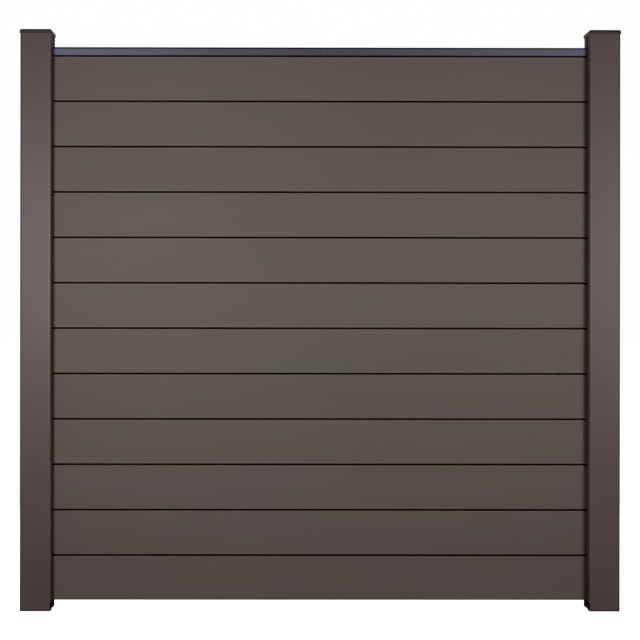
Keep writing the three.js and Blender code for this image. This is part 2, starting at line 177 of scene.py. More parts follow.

# How far from the post's side, in mm, and how dark a board and the rail are there: a painted shadow that
# the post casts on them.
BOARD_POST_SHADOW = ((0, 0.55), (3, 0.60), (6, 0.44), (12, 0.0))
RAIL_POST_SHADOW = ((0, 0.80), (3, 0.35), (9, 0.0))
FOOT_SHADE_STEPS = ((3, 0.75), (6, 0.0))  # painted shade likewise above the ground, for a post

# ---- Outlines --------------------------------------------------------


class Corner(NamedTuple):
    """A corner of an outline. wear and edge_shade are its edge's, and shade is the next side's."""

    u: float
    v: float
    radius: float = 0.0
    wear: float = 0.0
    shade: float = 0.0
    edge_shade: float | None = None


class Point(NamedTuple):
    u: float
    v: float
    wear: float = 0.0
    shade: float = 0.0


def tangent_length(before, corner, after):
    """How much of each side a rounded corner takes."""
    if not corner.radius:
        return 0.0
    towards_before = Vector((before.u - corner.u, before.v - corner.v))
    towards_after = Vector((after.u - corner.u, after.v - corner.v))
    return corner.radius / math.tan(towards_before.angle(towards_after) / 2)


def wear_reaches(free):
    """How far an edge's wear stays whole, and how far it fades, into a side with that much free length."""
    return min(WEAR_EDGE, EDGE_SHARE * free), min(WEAR_REACH, FADE_SHARE * free)


def outline(corners, arc_steps=ARC_STEPS):
    """The points of a closed outline with rounded corners, and a point where each edge's wear ends."""
    count = len(corners)
    around = [(corners[i - 1], corners[i], corners[(i + 1) % count]) for i in range(count)]
    taken = [tangent_length(*three) for three in around]
    points = []
    for i, (before, corner, after) in enumerate(around):
        place = Vector((corner.u, corner.v))
        if not corner.radius:
            points.append(Point(*place, corner.wear, corner.shade))
            continue
        back = Vector((before.u, before.v)) - place
        ahead = Vector((after.u, after.v)) - place
        free_back = back.length - taken[i] - taken[i - 1]
        free_ahead = ahead.length - taken[i] - taken[(i + 1) % count]
        back.normalize()
        ahead.normalize()
        middle = (back + ahead).normalized()
        centre = place + middle * math.hypot(corner.radius, taken[i])
        start = place + back * taken[i] - centre
        turn = start.angle_signed(place + ahead * taken[i] - centre)
        whole, fade = wear_reaches(free_back)
        for reach, wear in ((fade, 0.0), (whole, corner.wear)):
            points.append(Point(*(place + back * (taken[i] + reach)), wear, before.shade))
        for step in range(arc_steps + 1):
            share = step / arc_steps
            angle = -turn * share
            spoke = Vector((
                start.x * math.cos(angle) - start.y * math.sin(angle),
                start.x * math.sin(angle) + start.y * math.cos(angle),
            ))
            shade = corner.edge_shade
            if shade is None:
                shade = before.shade + (corner.shade - before.shade) * share
            points.append(Point(*(centre + spoke), corner.wear, shade))
        whole, fade = wear_reaches(free_ahead)
        for reach, wear in ((whole, corner.wear), (fade, 0.0)):
            points.append(Point(*(place + ahead * (taken[i] + reach)), wear, corner.shade))
    return points


def box_corners(left, right, bottom, top, radius=0.0, wear=0.0, shade=0.0):
    spots = ((left, bottom), (right, bottom), (right, top), (left, top))
    return [Corner(u, v, radius, wear, shade) for u, v in spots]


def square_corners(half, radius=0.0, wear=0.0, shade=0.0):
    return box_corners(-half, half, -half, half, radius, wear, shade)


def turned_left(points, wanted):
    """The points going anticlockwise if wanted, and clockwise if not."""
    area = sum(a.u * b.v - b.u * a.v for a, b in zip(points, points[1:] + points[:1]))
    return points if (area > 0) == wanted else points[::-1]


def inset(points, distance):
    """The points moved into the material, which lies on their left."""
    moved = []
    for i, point in enumerate(points):
        before, after = points[i - 1], points[(i + 1) % len(points)]
        arriving = Vector((point.u - before.u, point.v - before.v)).normalized()
        leaving = Vector((after.u - point.u, after.v - point.v)).normalized()
        normal_in = Vector((-arriving.y, arriving.x))
        normal_out = Vector((-leaving.y, leaving.x))
        miter = (normal_in + normal_out) / (1 + normal_in.dot(normal_out))
        moved.append(Vector((point.u, point.v)) + miter * distance)
    return moved


# ---- Meshes ----------------------------------------------------------


class Builder:
    """A mesh whose points carry the wear, painted shade, cut and tone that the materials read."""

    def __init__(self, tone=0.0):
        self.mesh = bmesh.new()
        floats = self.mesh.verts.layers.float
        self.layers = {name: floats.new(name) for name in ("wear", "shade", "cut", "tone")}
        self.tone = tone

    def point(self, place, wear=0.0, shade=0.0, cut=0.0):
        vertex = self.mesh.verts.new(place)
        for name, value in (("wear", wear), ("shade", shade), ("cut", cut), ("tone", self.tone)):
            vertex[self.layers[name]] = value
        return vertex

    def band(self, low, high):
        """Faces between two closed rings of as many points."""
        for i in range(len(low)):
            self.mesh.faces.new((low[i - 1], low[i], high[i], high[i - 1]))

    def fill(self, rings):
        """A flat face within the first ring and outside the others."""
        flat = [vertex for ring in rings for vertex in ring]
        for triangle in tessellate_polygon([[vertex.co for vertex in ring] for ring in rings]):
            self.mesh.faces.new([flat[i] for i in triangle])

    def fan(self, ring, tip):
        for i in range(len(ring)):
            self.mesh.faces.new((ring[i - 1], ring[i], tip))

    def finished(self, name):
        bmesh.ops.recalc_face_normals(self.mesh, faces=self.mesh.faces)
        data = bpy.data.meshes.new(name)
        self.mesh.to_mesh(data)
        self.mesh.free()
        piece = bpy.data.objects.new(name, data)
        bpy.context.scene.collection.objects.link(piece)
        return piece


class Station(NamedTuple):
    """A place along a swept length, with how far the outline lies inside its size there.

    shade is the least painted shade all round, and gather says how much deeper the outline's own painted
    shades are there.
    """

    distance: float
    depth: float = 0.0
    cut: float = 0.0
    shade: float = 0.0
    gather: float = 1.0


def swept(name, loops, stations, place, tone=0.0):
    """A piece that carries an outer loop and its holes through the stations, closed at both ends."""
    builder = Builder(tone)
    loops = [turned_left(loop, i == 0) for i, loop in enumerate(loops)]
    sections = []
    for at in stations:
        section = []
        for loop in loops:
            spots = zip(inset(loop, at.depth), loop)
            section.append([
                builder.point(
                    place(*spot, at.distance),
                    point.wear,
                    min(1.0, max(point.shade * at.gather, at.shade)),
                    at.cut,
                )
                for spot, point in spots
            ])
        sections.append(section)
    for low, high in zip(sections, sections[1:]):
        for low_ring, high_ring in zip(low, high):
            builder.band(low_ring, high_ring)
    builder.fill(sections[0])
    builder.fill(sections[-1])
    return builder.finished(name)


def sawn(start, end, chamfer=SAW_CHAMFER, fade=3 * MM):
    """Stations of a sawn length: a small chamfer at each end, and a cut that fades inwards."""
    return [
        Station(start, chamfer, 1.0),
        Station(start + chamfer, 0.0, 1.0),
        Station(start + chamfer + fade, 0.0, 0.0),
        Station(end - chamfer - fade, 0.0, 0.0),
        Station(end - chamfer, 0.0, 1.0),
        Station(end, chamfer, 1.0),
    ]


def seated(half_length, seat):
    """Stations of a length whose two ends lie in the posts' grooves, with painted shade on those ends and a
    painted shadow of the posts beside them.
    """
    mouth = POST_X - POST_HALF
    half = [
        Station(half_length, SAW_CHAMFER, 1.0, GROOVE_END_SHADE),
        Station(half_length - SAW_CHAMFER, 0.0, 1.0, GROOVE_END_SHADE),
    ]
    half += [Station(mouth - reach * MM, 0.0, 0.0, shade) for reach, shade in seat]
    return [at._replace(distance=-at.distance) for at in half] + half[::-1]


def along_x(u, v, distance):
    return distance, u, v


def carved(piece, tools, operation="DIFFERENCE"):
    """piece with the tools cut out of it or joined to it, and the tools gone."""
    for tool in tools:
        modifier = piece.modifiers.new("carve", "BOOLEAN")
        modifier.operation = operation
        modifier.solver = "EXACT"
        modifier.object = tool
    graph = bpy.context.evaluated_depsgraph_get()
    data = bpy.data.meshes.new_from_object(piece.evaluated_get(graph))
    piece.modifiers.clear()
    piece.data = data
    for tool in tools:
        bpy.data.objects.remove(tool)
    return piece


def round_ring(builder, radius, height, wear, place):
    angles = [2 * math.pi * i / SCREW_SIDES for i in range(SCREW_SIDES)]
    return [builder.point(place(radius * math.cos(a), radius * math.sin(a), height), wear) for a in angles]


def turned(name, profile, place):
    """A closed turned piece. profile holds (radius, height, wear), and starts and ends on the axis."""
    builder = Builder()
    rings = []
    for radius, height, wear in profile:
        if radius == 0:
            rings.append(builder.point(place(0.0, 0.0, height), wear))
        else:
            rings.append(round_ring(builder, radius, height, wear, place))
    builder.fan(rings[1], rings[0])
    for low, high in zip(rings[1:], rings[2:-1]):
        builder.band(low, high)
    builder.fan(rings[-2], rings[-1])
    return builder.finished(name)


def dressed(piece, node, slot, smooth_angle=32):
    """Puts a piece in the place of its CAD node. Faces in deep painted shade get the slot's unglossy shaded
    copy of its material.
    """
    piece.data.materials.clear()
    piece.data.materials.append(MATERIALS[slot])
    if slot in SHADED_COPIES:
        piece.data.materials.append(SHADED_COPIES[slot])
        shades = [value.value for value in piece.data.attributes["shade"].data]
        for face in piece.data.polygons:
            face.material_index = int(min(shades[i] for i in face.vertices) >= DEEP_SHADE_FROM)
    piece.data.shade_smooth()
    piece.data.set_sharp_from_angle(angle=math.radians(smooth_angle))
    weighted = piece.modifiers.new("weighted normals", "WEIGHTED_NORMAL")
    weighted.keep_sharp = True
    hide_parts(node)
    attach(piece, "root")
    return piece


# ---- Material nodes --------------------------------------------------

MIX_COLOUR_INPUTS = (6, 7)  # the sockets of a Mix node that mixes colours
MIX_COLOUR_OUTPUT = 2


class Tree:
    """A node tree, with a short way to add and feed its nodes."""

    def __init__(self, tree):
        self.tree = tree

    def add(self, kind, *inputs, **settings):
        """A new node, whose first inputs are fed in turn. A setting with a capital is an input too."""
        node = self.tree.nodes.new(kind)
        for name, value in settings.items():
            if name[0].isupper():
                self.feed(node.inputs[name], value)
            else:
                setattr(node, name, value)
        for socket, value in zip(node.inputs, inputs):
            self.feed(socket, value)
        return node

    def feed(self, socket, value):
        """Feeds a number, a colour, a socket or a node."""
        if isinstance(value, bpy.types.Node):
            value = value.outputs[0]
        if isinstance(value, bpy.types.NodeSocket):
            self.tree.links.new(value, socket)
        else:
            socket.default_value = value

    def math(self, operation, first, second=0.0):
        return self.add("ShaderNodeMath", first, second, operation=operation).outputs[0]

    def span(self, value, low, high, to_low=0.0, to_high=1.0):
        """value's stretch from low to high, smoothly mapped to the other stretch and held at its ends."""
        stretches = (value, low, high, to_low, to_high)
        return self.add("ShaderNodeMapRange", *stretches, interpolation_type="SMOOTHSTEP").outputs["Result"]


class Shader(Tree):
    """A material, with a short way to make each kind of pattern."""

    def __init__(self, name, specular, metallic=0.0):
        self.material = bpy.data.materials.new(name)
        self.material.use_nodes = True
        super().__init__(self.material.node_tree)
        self.surface = self.tree.nodes["Principled BSDF"]
        self.surface.inputs["Specular IOR Level"].default_value = specular
        self.surface.inputs["Metallic"].default_value = metallic
        self.place = self.add("ShaderNodeTexCoord").outputs["Object"]

    def stretched(self, per_metre, shift=(0.0, 0.0, 0.0)):
        return self.add("ShaderNodeMapping", self.place, Scale=per_metre, Location=shift).outputs["Vector"]

    def noise(self, per_metre, detail=2.0, roughness=0.5, shift=(0.0, 0.0, 0.0)):
        """Noise from 0 to 1 with per_metre waves in each direction."""
        place = self.stretched(per_metre, shift)
        node = self.add("ShaderNodeTexNoise", place, Scale=1.0, Detail=detail, Roughness=roughness)
        return node.outputs["Fac"]

    def cells(self, per_metre, output="Distance"):
        return self.add("ShaderNodeTexVoronoi", self.stretched(per_metre), Scale=1.0).outputs[output]

    def attribute(self, name):
        return self.add("ShaderNodeAttribute", attribute_name=name).outputs["Fac"]

    def axis(self, name):
        return self.add("ShaderNodeSeparateXYZ", self.place).outputs[name]

    def facing(self, name):
        """How squarely the surface faces along an axis, from 0 to 1."""
        normal = self.add("ShaderNodeTexCoord").outputs["Normal"]
        return self.math("ABSOLUTE", self.add("ShaderNodeSeparateXYZ", normal).outputs[name])

    def total(self, start, *terms):
        """start plus each weight times its value."""
        level = start
        for weight, value in terms:
            level = self.math("ADD", level, self.math("MULTIPLY", value, weight))
        return level

    def mixed(self, factor, *colours):
        """The first colour where the factor is 0, and the second where it is 1."""
        node = self.add("ShaderNodeMix", factor, data_type="RGBA")
        for socket, colour in zip(MIX_COLOUR_INPUTS, colours):
            self.feed(node.inputs[socket], (*colour, 1.0) if isinstance(colour, tuple) else colour)
        return node.outputs[MIX_COLOUR_OUTPUT]

    def scaled(self, colour, level):
        return self.add("ShaderNodeVectorMath", colour, operation="SCALE", Scale=level).outputs[0]

    def bump(self, height, distance, strength=1.0, over=None):
        node = self.add("ShaderNodeBump", Strength=strength, Distance=distance, Height=height)
        if over is not None:
            self.feed(node.inputs["Normal"], over)
        return node.outputs["Normal"]

    def made(self, colour, roughness, normal=None):
        self.feed(self.surface.inputs["Base Color"], colour)
        self.feed(self.surface.inputs["Roughness"], roughness)
        if normal is not None:
            self.feed(self.surface.inputs["Normal"], normal)
        return self.material


# ---- Materials -------------------------------------------------------

BOARD_WARM = (0.1132, 0.0838, 0.0784)
BOARD_COOL = (0.1074, 0.0857, 0.0754)
POST_WARM = (0.0695, 0.0467, 0.0445)
POST_COOL = (0.0657, 0.0479, 0.0430)
# painted reflection: the rail's colour is darker in its middle and brighter towards its ends
RAIL_DIM_MIDDLE = (0.061, 0.059, 0.078)
RAIL_LIT_ENDS = (0.071, 0.072, 0.102)
COMPOSITE_PAINTED_SHADE = (0.0095, 0.0032, 0.0017)  # painted shade in joints, grooves and corners: a red-brown near black
PAINTED_SHADE_DARK = (0.0020, 0.0014, 0.0012)  # painted shade on the caps and the rail


def lengthwise(axis, along, across):
    """Waves per metre of a pattern that runs along one axis."""
    return tuple(along if name == axis else across for name in "XYZ")


def composite(name, axis, warm, cool, specular, face_roughness, side_roughness):
    """Wood-plastic composite, extruded and sanded along one axis."""
    shader = Shader(name, specular)
    clouds = shader.noise(lengthwise(axis, 3.0, 9.0), detail=3.0)
    streaks = shader.noise(lengthwise(axis, 5.0, 260.0), detail=3.0, roughness=0.6)
    sanding = shader.noise(lengthwise(axis, 14.0, 1500.0), detail=2.0, shift=(3.1, 5.3, 7.7))
    flecks = shader.noise(lengthwise(axis, 160.0, 700.0), detail=1.0, shift=(11.0, 2.0, 4.0))
    pale_fibres = shader.span(flecks, 0.66, 0.78)
    dark_fibres = shader.span(flecks, 0.34, 0.24)
    wear = shader.attribute("wear")
    shade = shader.attribute("shade")
    cut = shader.attribute("cut")
    # wear lightens the edges; negative wear, on edges turned from the light, is painted shade
    ragged_wear_and_shade = shader.math("MULTIPLY", wear, shader.span(streaks, 0.2, 0.7, 0.55, 1.0))
    level = shader.total(
        0.88,
        (0.08, clouds),
        (0.07, streaks),
        (0.03, sanding),
        (0.16, pale_fibres),
        (-0.14, dark_fibres),
        (0.26, ragged_wear_and_shade),
        (0.10, cut),
        (1.0, shader.attribute("tone")),
    )
    hue = shader.noise(lengthwise(axis, 1.7, 6.0), detail=2.0, shift=(0.0, 9.0, 2.0))
    colour = shader.mixed(shader.span(hue, 0.3, 0.7), warm, cool)
    colour = shader.scaled(colour, level)
    # painted shade: the shade attribute darkens joints, grooves, post sides and feet, and board ends beside
    # the posts
    colour = shader.mixed(shade, colour, COMPOSITE_PAINTED_SHADE)
    sideways = shader.span(shader.facing("X"), 0.5, 0.9)
    roughness = shader.total(
        face_roughness,
        (side_roughness - face_roughness, sideways),
        (0.05, streaks),
        (0.04, clouds),
        (-0.08, ragged_wear_and_shade),
        (0.10, cut),
    )
    coarse = shader.bump(streaks, 0.10 * MM, 0.5)
    fine = shader.bump(sanding, 0.05 * MM, 0.5, over=coarse)
    normal = shader.bump(pale_fibres, 0.04 * MM, 0.6, over=fine)
    return shader.made(colour, roughness, normal)


def moulded_plastic(name, base, specular, roughness, edge):
    """Moulded plastic with the fine spark-eroded grain of its tool."""
    shader = Shader(name, specular)
    grain = shader.noise((2200.0, 2200.0, 2200.0), detail=2.0)
    clouds = shader.noise((22.0, 22.0, 22.0), detail=2.0)
    scuffs = shader.span(shader.noise((40.0, 260.0, 60.0), detail=3.0), 0.62, 0.80)
    level = shader.total(
        0.92,
        (0.10, clouds),
        (0.08, grain),
        (0.14, scuffs),
        (edge, shader.attribute("wear")),
    )
    colour = shader.scaled(base, level)
    # painted shade where the shade attribute is set
    colour = shader.mixed(shader.attribute("shade"), colour, PAINTED_SHADE_DARK)
    finish = shader.total(roughness, (0.12, grain), (-0.10, scuffs))
    return shader.made(colour, finish, shader.bump(grain, 0.05 * MM, 0.5))


def rail_aluminium():
    """Anodised extrusion: fine die lines along its length, painted shade along its top edge, and a painted
    reflection brighter towards its ends.
    """
    shader = Shader("rail_aluminium", specular=0.5, metallic=1.0)
    die_lines = shader.noise((3.0, 1800.0, 1800.0), detail=2.0)
    drawn = shader.noise((1.1, 90.0, 90.0), detail=2.0, shift=(4.0, 0.0, 0.0))
    clouds = shader.noise((2.3, 14.0, 14.0), detail=3.0)
    scratches = shader.span(shader.noise((60.0, 900.0, 900.0), detail=2.0), 0.70, 0.80)
    # painted reflection: mask from the rail's middle to its brighter ends
    ends = shader.span(shader.math("ABSOLUTE", shader.math("ADD", shader.axis("X"), 0.1)), 0.15, 0.85)
    # painted shade: a dark line along the rail's top edge
    high = shader.span(shader.axis("Z"), RAIL_HIGH.z - 6.2 * MM, RAIL_HIGH.z - 4.8 * MM)
    painted_top_shade = shader.math("MULTIPLY", high, shader.span(shader.facing("Y"), 0.2, 0.6))
    colour = shader.mixed(ends, RAIL_DIM_MIDDLE, RAIL_LIT_ENDS)
    level = shader.total(
        0.83,
        (0.08, die_lines),
        (0.10, clouds),
        (0.05, drawn),
        (0.20, scratches),
        (-0.80, painted_top_shade),
    )
    colour = shader.scaled(colour, level)
    colour = shader.mixed(shader.attribute("shade"), colour, PAINTED_SHADE_DARK)
    roughness = shader.total(0.20, (0.10, die_lines), (0.06, clouds), (0.10, painted_top_shade))
    return shader.made(colour, roughness, shader.bump(die_lines, 0.02 * MM, 0.5))


def galvanised_steel():
    """Hot-dip zinc: spangled crystals of slightly different greys."""
    shader = Shader("galvanised_steel", specular=0.5, metallic=1.0)
    tone = shader.add("ShaderNodeSeparateColor", shader.cells((95.0, 95.0, 95.0), "Color"))
    clouds = shader.noise((16.0, 16.0, 16.0), detail=3.0)
    level = shader.total(0.70, (0.34, tone.outputs[0]), (0.22, clouds), (0.10, shader.attribute("wear")))
    colour = shader.scaled((0.42, 0.44, 0.45), level)
    roughness = shader.total(0.34, (0.22, tone.outputs[1]), (0.08, clouds))
    return shader.made(colour, roughness, shader.bump(clouds, 0.15 * MM, 0.4))


def plated_steel(name, base, grain_per_metre):
    """Zinc-plated steel with a fine rolled grain, brighter edges, and painted shade in its thread roots and
    recess.
    """
    shader = Shader(name, specular=0.5, metallic=1.0)
    grain = shader.noise(grain_per_metre, detail=2.0)
    stains = shader.noise((180.0, 180.0, 180.0), detail=3.0)
    level = shader.total(
        0.80,
        (0.16, grain),
        (0.20, stains),
        (0.25, shader.attribute("wear")),
        # painted shade in thread roots and the cross recess
        (-0.35, shader.attribute("shade")),
    )
    roughness = shader.total(0.26, (0.16, grain), (0.14, stains))
    return shader.made(shader.scaled(base, level), roughness, shader.bump(grain, 0.02 * MM, 0.5))


MATERIALS = {
    "board_composite": composite("board_composite", "X", BOARD_WARM, BOARD_COOL, 0.12, 0.75, 0.85),
    "post_composite": composite("post_composite", "Z", POST_WARM, POST_COOL, 0.16, 0.40, 0.90),
    "cap_plastic": moulded_plastic("cap_plastic", (0.042, 0.036, 0.030), 0.10, 0.70, 0.0),
    "rail_aluminium": rail_aluminium(),
    "galvanised_steel": galvanised_steel(),
    "spacer_plastic": moulded_plastic("spacer_plastic", (0.016, 0.016, 0.016), 0.30, 0.60, 0.30),
    "bracket_steel": plated_steel("bracket_steel", (0.38, 0.39, 0.40), (900.0, 40.0, 900.0)),
    "screw_steel": plated_steel("screw_steel", (0.48, 0.49, 0.50), (1500.0, 1500.0, 1500.0)),
}
SHADED_COPIES = {  # unglossy shaded copies of a slot's material, for the faces in deep painted shade
    "board_composite": composite("board_painted_shade", "X", BOARD_WARM, BOARD_COOL, 0.0, 0.90, 0.90),
    "post_composite": composite("post_painted_shade", "Z", POST_WARM, POST_COOL, 0.0, 0.90, 0.90),
}


# ---- Boards and rail -------------------------------------------------


def board_corners(lowest):
    """A board seen end on. Its sides within the joints carry painted shade; the lowest board's underside
    carries a little, and its foot edges painted shade.
    """
    half, top = BOARD_HALF, BOARD_PITCH - SHADOW_GAP
    r = BOARD_EDGE_RADIUS
    tip = TONGUE_REACH
    # under, foot_shade and the lowest board's negative foot wear are painted shade below the boards
    under = 0.25 if lowest else 1.0
    foot_wear_and_shade = -1.0 if lowest else 1.0
    foot_shade = 0.6 if lowest else JOINT_EDGE_SHADE
    return [
        Corner(half, 0, r, foot_wear_and_shade, 0.0, foot_shade),
        Corner(half, top, r, 1.0, 1.0, JOINT_EDGE_SHADE),
        Corner(TONGUE_HALF, top, 0.0, 0.0, 1.0),
        Corner(TONGUE_HALF, tip, TONGUE_TIP_RADIUS, 0.0, 1.0),
        Corner(-TONGUE_HALF, tip, TONGUE_TIP_RADIUS, 0.0, 1.0),
        Corner(-TONGUE_HALF, top, 0.0, 0.0, 1.0),
        Corner(-half, top, r, 1.0, 0.0, JOINT_EDGE_SHADE),
        Corner(-half, 0, r, foot_wear_and_shade, under, foot_shade),
        Corner(-SLOT_HALF, 0, r, 0.0, 1.0),
        Corner(-SLOT_HALF, SLOT_DEPTH, 0.0, 0.0, 1.0),
        Corner(SLOT_HALF, SLOT_DEPTH, 0.0, 0.0, 1.0),
        Corner(SLOT_HALF, 0, r, 0.0, under),
    ]


def board_chambers():
    half = BOARD_HALF - BOARD_WALL
    bottom = SLOT_DEPTH + BOARD_WALL
    top = BOARD_PITCH - SHADOW_GAP - BOARD_WALL
    step = (top - bottom + BOARD_RIB) / BOARD_CHAMBERS
    lows = [bottom + i * step for i in range(BOARD_CHAMBERS)]
    return [box_corners(-half, half, low, low + step - BOARD_RIB, BOARD_CHAMBER_RADIUS) for low in lows]


def make_boards():
    rng = random.Random(SEED)
    for i, node in enumerate(BOARDS):
        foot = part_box(node)[0].z
        tone = rng.uniform(-BOARD_TONE, BOARD_TONE)
        loops = [outline(board_corners(i == 0))] + [outline(c, 3) for c in board_chambers()]
        stations = seated(BOARD_HALF_LENGTH, BOARD_POST_SHADOW)
        piece = swept(f"{node}_body", loops, stations, lambda u, v, x: (x, u, foot + v), tone)
        dressed(piece, node, "board_composite")


def rail_corners():
    half, height = RAIL_HIGH.y, RAIL_HIGH.z - RAIL_LOW.z
    inside = half - RAIL_WALL
    # painted shade along the four outer edges and in the slot
    return [
        Corner(half, 0, RAIL_FOOT_RADIUS, 0.0, 0.0, 0.9),
        Corner(half, height, RAIL_EDGE_RADIUS, 0.0, 0.0, 0.9),
        Corner(-half, height, RAIL_EDGE_RADIUS, 0.0, 0.0, 0.9),
        Corner(-half, 0, RAIL_FOOT_RADIUS, 0.0, 1.0, 0.9),
        Corner(-SLOT_HALF, 0, 0.0, 0.0, 1.0),
        Corner(-SLOT_HALF, RAIL_WALL, 0.0, 0.0, 1.0),
        Corner(-inside, RAIL_WALL, 0.0, 0.0, 1.0),
        Corner(-inside, SLOT_DEPTH, 0.0, 0.0, 1.0),
        Corner(inside, SLOT_DEPTH, 0.0, 0.0, 1.0),
        Corner(inside, RAIL_WALL, 0.0, 0.0, 1.0),
        Corner(SLOT_HALF, RAIL_WALL, 0.0, 0.0, 1.0),
        Corner(SLOT_HALF, 0, 0.0, 0.0, 1.0),
    ]


def make_rail():
    inside = RAIL_HIGH.y - RAIL_WALL
    height = RAIL_HIGH.z - RAIL_LOW.z
    bottom, top = SLOT_DEPTH + RAIL_WALL, height - RAIL_WALL
    chamber = box_corners(-inside, inside, bottom, top, RAIL_CHAMBER_RADIUS)
    loops = [outline(rail_corners()), outline(chamber, 3)]
    stations = seated(RAIL_HIGH.x, RAIL_POST_SHADOW)
    piece = swept("top_rail_body", loops, stations, lambda u, v, x: (x, u, RAIL_LOW.z + v))
    centres = [centre_of(f"{side}_bracket_rail_screw") for side in SIDES]
    carved(piece, [drill(RAIL_SCREW, centre, RAIL_HIGH.z, "Z") for centre in centres])
    dressed(piece, "top_rail", "rail_aluminium")


# ---- Posts, tubes and caps -------------------------------------------


def centre_of(node):
    low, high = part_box(node)
    return (low + high) / 2


def drill(screw, centre, level, axis):
    """A round tool that clears a screw's shank on both sides of a level along an axis."""
    radius, reach = screw.shank + SCREW_FIT, DRILL_REACH
    profile = [(0.0, -reach, 0.0), (radius, -reach, 0.0), (radius, reach, 0.0), (0.0, reach, 0.0)]

    def place(a, b, height):
        if axis == "Z":
            return centre.x + a, centre.y + b, level + height
        return level + height, centre.y + a, centre.z + b

    return turned("drill", profile, place)


def post_side(edge_wear_and_shade, edge_shade, side, wall, floor):
    """The corners of a post's right side, seen from above, with the groove down its middle."""
    h, g = POST_HALF, GROOVE_HALF
    return [
        Corner(h, -h, POST_EDGE_RADIUS, edge_wear_and_shade, side, edge_shade),
        Corner(h, -g, GROOVE_LIP_RADIUS, 1.0, wall),
        Corner(GROOVE_FLOOR, -g, GROOVE_FLOOR_RADIUS, 0.0, floor),
        Corner(GROOVE_FLOOR, g, GROOVE_FLOOR_RADIUS, 0.0, wall),
        Corner(h, g, GROOVE_LIP_RADIUS, 1.0, side),
        Corner(h, h, POST_EDGE_RADIUS, edge_wear_and_shade, 0.0, edge_shade),
    ]


def post_corners(way):
    """A post seen from above. Its side towards the boards carries a little painted shade and its groove
    there deep painted shade; its outer edges and groove carry painted shade too.
    """
    # painted shade: edge shade, side, groove wall and groove floor; the outer edges' negative wear is
    # painted shade as well
    inner = post_side(1.0, 0.03, 0.08, 0.7, 0.9)
    outer = post_side(-1.0, 0.45, 0.0, 0.2, 0.25)
    right, left = (inner, outer) if way > 0 else (outer, inner)
    return right + [corner._replace(u=-corner.u, v=-corner.v) for corner in left]


def post_chambers():
    r = POST_CHAMBER_RADIUS
    inner, outer = CORE_HALF + POST_INNER_WALL, POST_HALF - POST_WALL
    corner_side = GROOVE_HALF + POST_INNER_WALL
    chambers = [square_corners(CORE_HALF, r)]
    for y in (-1, 1):
        low, high = sorted((y * inner, y * outer))
        chambers.append(box_corners(-CORE_HALF, CORE_HALF, low, high, r))
        for x in (-1, 1):
            left, right = sorted((x * inner, x * outer))
            bottom, top = sorted((y * corner_side, y * outer))
            chambers.append(box_corners(left, right, bottom, top, r))
    return chambers


def countersink(centre, floor_x, way):
    """The hole of a countersunk screw in a groove floor, and a little past it."""
    clear = CORE_SCREW.shank + SCREW_FIT
    mouth = CORE_SCREW.head + SCREW_FIT
    profile = [
        (0.0, -COUNTERSINK_DEPTH, 0.0),
        (clear, -COUNTERSINK_DEPTH, 0.0),
        (clear, -CORE_SCREW.rise - HEAD_SINK, 0.0),
        (mouth, -SCREW_LIP - HEAD_SINK, 0.0),
        (mouth, HEAD_SINK, 0.0),
        (0.0, HEAD_SINK, 0.0),
    ]
    return turned("countersink", profile, lambda a, b, h: (floor_x + way * h, centre.y + a, centre.z + b))


def core_screws(side):
    return sorted(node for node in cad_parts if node.startswith(f"{side}_core_screw_"))


def make_post(side, way):
    centre_x = -way * POST_X
    loops = [outline(post_corners(way))] + [outline(c, 4) for c in post_chambers()]
    # painted shade at the foot, deepened on the post's shaded sides below the lowest board
    foot = [Station(0.0, SAW_CHAMFER, 1.0, FOOT_SHADE), Station(SAW_CHAMFER, 0.0, 1.0, FOOT_SHADE)]
    foot += [Station(reach * MM, shade=shade) for reach, shade in FOOT_SHADE_STEPS]
    foot.append(Station(BOARD_LOW.z - 2 * MM))
    stations = [at._replace(gather=FOOT_GATHER) for at in foot]
    stations += [Station(BOARD_LOW.z + BOARD_PITCH)] + sawn(0.0, POST_TOP)[3:]
    piece = swept(f"{side}_post_body", loops, stations, lambda u, v, z: (centre_x + u, v, z))
    floor_x = centre_x + way * GROOVE_FLOOR
    tools = [countersink(centre_of(node), floor_x, way) for node in core_screws(side)]
    wall_x = centre_x + way * (GROOVE_FLOOR + CORE_HALF) / 2
    upper = drill(POST_SCREW, centre_of(f"{side}_bracket_post_screw"), wall_x, "X")
    carved(piece, tools + [upper])
    dressed(piece, f"{side}_post", "post_composite")


def tube_bore():
    """The bore, with the seam that the welded tube keeps down one inner wall."""
    half = TUBE_HALF - TUBE_WALL
    r = TUBE_BORE_RADIUS
    return [
        Corner(-half, -half, r),
        Corner(half, -half, r),
        Corner(half, half, r),
        Corner(WELD_HALF, half, 0.0),
        Corner(WELD_HALF / 2, half - WELD_RISE, 0.0),
        Corner(-WELD_HALF / 2, half - WELD_RISE, 0.0),
        Corner(-WELD_HALF, half, 0.0),
        Corner(-half, half, r),
    ]


def make_tube(side, way):
    centre_x = -way * POST_X
    loops = [outline(square_corners(TUBE_HALF, TUBE_EDGE_RADIUS, 1.0)), outline(tube_bore(), 3)]
    stations = sawn(TUBE_LOW.z, TUBE_HIGH.z, 0.2 * MM)
    piece = swept(f"{side}_core_tube_body", loops, stations, lambda u, v, z: (centre_x + u, v, z))
    wall_x = centre_x + way * (TUBE_HALF - TUBE_WALL / 2)
    tools = [drill(CORE_SCREW, centre_of(node), wall_x, "X") for node in core_screws(side)]
    tools.append(drill(POST_SCREW, centre_of(f"{side}_bracket_post_screw"), wall_x, "X"))
    carved(piece, tools)
    dressed(piece, f"{side}_core_tube", "galvanised_steel")


